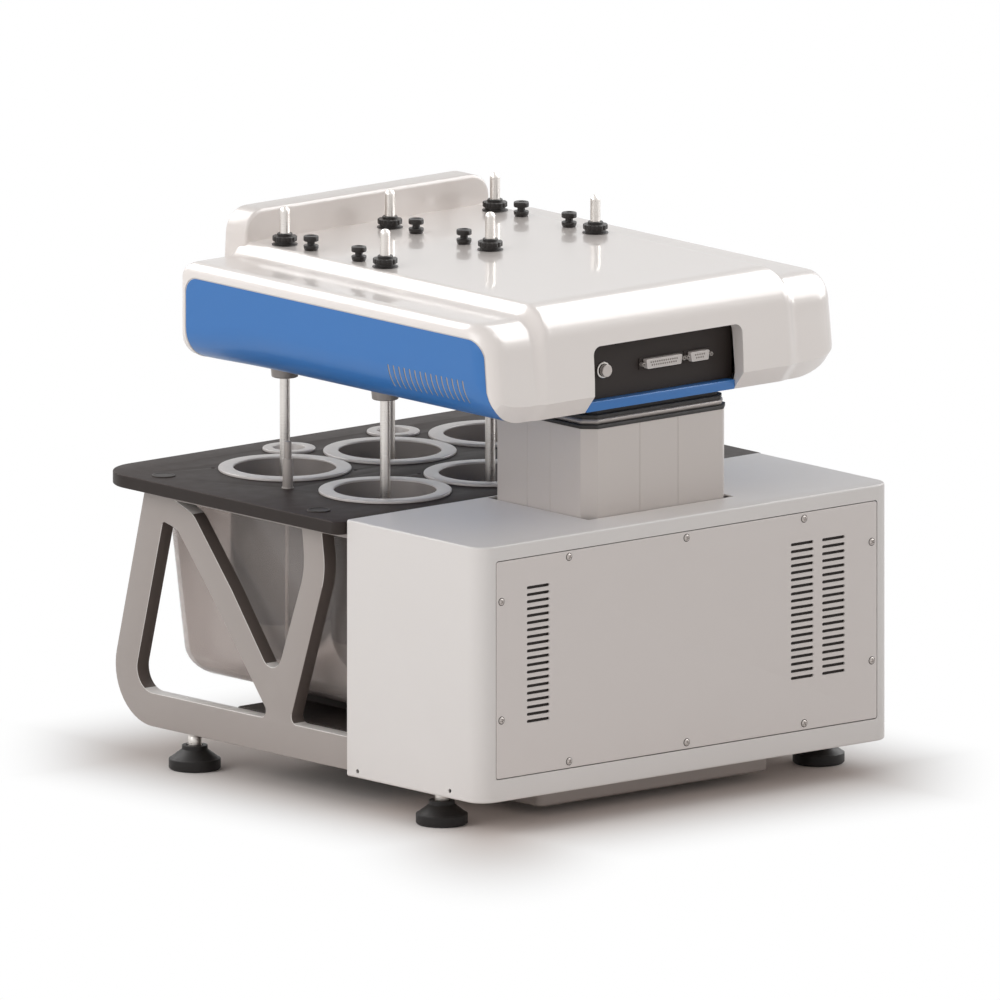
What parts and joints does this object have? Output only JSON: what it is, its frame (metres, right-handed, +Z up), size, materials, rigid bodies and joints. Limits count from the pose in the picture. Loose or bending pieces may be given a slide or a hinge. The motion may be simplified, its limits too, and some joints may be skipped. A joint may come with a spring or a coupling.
{
  "type": "tablet dissolution tester",
  "caption": "Bench tester with round-bottomed vessels in a water bath, belt-driven paddle spindles and a head that lifts on a column.",
  "frame": {"origin": "middle of the footprint's bounding box, on the surface that the feet stand on", "axes": "+Z up, +Y toward the cabinet and its service panel at the rear, -Y toward the control panel at the front"},
  "size_m": [0.55, 0.57, 0.5474],
  "materials": {
    "cabinet_paint": "satin light grey paint",
    "frame_casting": "satin grey paint on a casting",
    "plate_coating": "satin dark coating",
    "vessel_plastic": "clear to milky, glossy",
    "bath_plastic": "translucent",
    "dark_cover": "satin black",
    "plain_aluminium": "machined",
    "bright_steel": "ground",
    "black_plastic": "satin black",
    "foot_rubber": "matt",
    "seal_rubber": "matt",
    "white_cover": "glossy white",
    "blue_shell": "glossy blue"
  },
  "bodies": {
    "base": {"cabinet_shell": "cabinet_paint", "cabinet_floor": "cabinet_paint", "service_panel": "cabinet_paint", "base_pan": "cabinet_paint", "side_frame_right": "frame_casting", "side_frame_left": "frame_casting", "vessel_plate": "plate_coating", "vessel_1": "vessel_plastic", "vessel_2": "vessel_plastic", "vessel_3": "vessel_plastic", "vessel_4": "vessel_plastic", "vessel_5": "vessel_plastic", "vessel_6": "vessel_plastic", "probe_post": "bright_steel", "water_bath": "bath_plastic", "base_tray": "dark_cover", "circulation_heater": "dark_cover", "power_supply": "plain_aluminium", "mains_inlet": "black_plastic", "lift_actuator": "plain_aluminium"},
    "switch": {"power_switch": "black_plastic"},
    "foot_1_body": {"foot_1": "foot_rubber"},
    "foot_2_body": {"foot_2": "foot_rubber"},
    "foot_3_body": {"foot_3": "foot_rubber"},
    "foot_4_body": {"foot_4": "foot_rubber"},
    "cup_1_body": {"cup_1": "vessel_plastic"},
    "cup_2_body": {"cup_2": "vessel_plastic"},
    "head": {"head_cover": "white_cover", "head_lower_shell": "blue_shell", "connector_panel": "black_plastic", "connector_25": "bright_steel", "connector_9": "bright_steel", "bearing_plate": "plain_aluminium", "drive_motor": "plain_aluminium", "drive_belt": "seal_rubber", "control_panel": "white_cover", "keypad_membrane": "black_plastic", "column_sleeve": "cabinet_paint", "column_gasket": "seal_rubber", "lift_rod": "bright_steel"},
    "button": {"reset_button": "bright_steel"},
    "motor_shaft": {"motor_pulley": "plain_aluminium"},
    "spindle_1": {"chuck_1": "black_plastic"},
    "spindle_2": {"chuck_2": "black_plastic"},
    "spindle_3": {"chuck_3": "black_plastic"},
    "spindle_4": {"chuck_4": "black_plastic"},
    "spindle_5": {"chuck_5": "black_plastic"},
    "spindle_6": {"chuck_6": "black_plastic"},
    "paddle_1": {"paddle_shaft_1": "bright_steel"},
    "paddle_2": {"paddle_shaft_2": "bright_steel"},
    "paddle_3": {"paddle_shaft_3": "bright_steel"},
    "paddle_4": {"paddle_shaft_4": "bright_steel"},
    "paddle_5": {"paddle_shaft_5": "bright_steel"},
    "paddle_6": {"paddle_shaft_6": "bright_steel"},
    "plug_1": {"port_plug_1": "black_plastic"},
    "plug_2": {"port_plug_2": "black_plastic"},
    "plug_3": {"port_plug_3": "black_plastic"},
    "plug_4": {"port_plug_4": "black_plastic"},
    "plug_5": {"port_plug_5": "black_plastic"},
    "plug_6": {"port_plug_6": "black_plastic"}
  },
  "joints": [
    {"name": "head_lift", "type": "slide", "parent": "base", "child": "head", "axis": [0, 0, 1], "range_m": [0, 0.18]},
    {"name": "switch_rock", "type": "hinge", "parent": "base", "child": "switch", "pos_m": [-0.2678, 0.215, 0.107], "axis": [0, 1, 0], "range_deg": [0, 14]},
    {"name": "foot_1_turn", "type": "hinge", "parent": "base", "child": "foot_1_body", "pos_m": [0.242, 0.2001, 0], "axis": [0, 0, 1], "continuous": true},
    {"name": "foot_2_turn", "type": "hinge", "parent": "base", "child": "foot_2_body", "pos_m": [-0.242, 0.2001, 0], "axis": [0, 0, 1], "continuous": true},
    {"name": "foot_3_turn", "type": "hinge", "parent": "base", "child": "foot_3_body", "pos_m": [0.242, -0.1718, 0], "axis": [0, 0, 1], "continuous": true},
    {"name": "foot_4_turn", "type": "hinge", "parent": "base", "child": "foot_4_body", "pos_m": [-0.242, -0.1718, 0], "axis": [0, 0, 1], "continuous": true},
    {"name": "cup_1_lift", "type": "slide", "parent": "base", "child": "cup_1_body", "axis": [0, 0, 1], "range_m": [0, 0.04]},
    {"name": "cup_2_lift", "type": "slide", "parent": "base", "child": "cup_2_body", "axis": [0, 0, 1], "range_m": [0, 0.04]},
    {"name": "button_press", "type": "slide", "parent": "head", "child": "button", "axis": [0, -1, 0], "range_m": [0, 0.002], "stiffness_N_per_m": 300},
    {"name": "motor_spin", "type": "hinge", "parent": "head", "child": "motor_shaft", "pos_m": [0.14, -0.08605, 0.4795], "axis": [0, 0, 1], "continuous": true},
    {"name": "spindle_1_spin", "type": "hinge", "parent": "head", "child": "spindle_1", "pos_m": [-0.135, -0.1616, 0.4795], "axis": [0, 0, 1], "continuous": true},
    {"name": "spindle_2_spin", "type": "hinge", "parent": "head", "child": "spindle_2", "pos_m": [0, -0.1616, 0.4795], "axis": [0, 0, 1], "continuous": true},
    {"name": "spindle_3_spin", "type": "hinge", "parent": "head", "child": "spindle_3", "pos_m": [0.135, -0.1616, 0.4795], "axis": [0, 0, 1], "continuous": true},
    {"name": "spindle_4_spin", "type": "hinge", "parent": "head", "child": "spindle_4", "pos_m": [-0.135, -0.0105, 0.4795], "axis": [0, 0, 1], "continuous": true},
    {"name": "spindle_5_spin", "type": "hinge", "parent": "head", "child": "spindle_5", "pos_m": [0, -0.0105, 0.4795], "axis": [0, 0, 1], "continuous": true},
    {"name": "spindle_6_spin", "type": "hinge", "parent": "head", "child": "spindle_6", "pos_m": [0.135, -0.0105, 0.4795], "axis": [0, 0, 1], "continuous": true},
    {"name": "paddle_1_height", "type": "slide", "parent": "spindle_1", "child": "paddle_1", "axis": [0, 0, 1], "range_m": [0, 0.03]},
    {"name": "paddle_2_height", "type": "slide", "parent": "spindle_2", "child": "paddle_2", "axis": [0, 0, 1], "range_m": [0, 0.03]},
    {"name": "paddle_3_height", "type": "slide", "parent": "spindle_3", "child": "paddle_3", "axis": [0, 0, 1], "range_m": [0, 0.03]},
    {"name": "paddle_4_height", "type": "slide", "parent": "spindle_4", "child": "paddle_4", "axis": [0, 0, 1], "range_m": [0, 0.03]},
    {"name": "paddle_5_height", "type": "slide", "parent": "spindle_5", "child": "paddle_5", "axis": [0, 0, 1], "range_m": [0, 0.03]},
    {"name": "paddle_6_height", "type": "slide", "parent": "spindle_6", "child": "paddle_6", "axis": [0, 0, 1], "range_m": [0, 0.03]},
    {"name": "plug_1_pull", "type": "slide", "parent": "head", "child": "plug_1", "axis": [0, 0, 1], "range_m": [0, 0.03]},
    {"name": "plug_2_pull", "type": "slide", "parent": "head", "child": "plug_2", "axis": [0, 0, 1], "range_m": [0, 0.03]},
    {"name": "plug_3_pull", "type": "slide", "parent": "head", "child": "plug_3", "axis": [0, 0, 1], "range_m": [0, 0.03]},
    {"name": "plug_4_pull", "type": "slide", "parent": "head", "child": "plug_4", "axis": [0, 0, 1], "range_m": [0, 0.03]},
    {"name": "plug_5_pull", "type": "slide", "parent": "head", "child": "plug_5", "axis": [0, 0, 1], "range_m": [0, 0.03]},
    {"name": "plug_6_pull", "type": "slide", "parent": "head", "child": "plug_6", "axis": [0, 0, 1], "range_m": [0, 0.03]}
  ],
  "couplings": [
    {"joint": "motor_spin", "follows": "spindle_1_spin", "ratio": 1},
    {"joint": "spindle_2_spin", "follows": "spindle_1_spin", "ratio": 1},
    {"joint": "spindle_3_spin", "follows": "spindle_1_spin", "ratio": 1},
    {"joint": "spindle_4_spin", "follows": "spindle_1_spin", "ratio": 1},
    {"joint": "spindle_5_spin", "follows": "spindle_1_spin", "ratio": 1},
    {"joint": "spindle_6_spin", "follows": "spindle_1_spin", "ratio": 1}
  ]
}
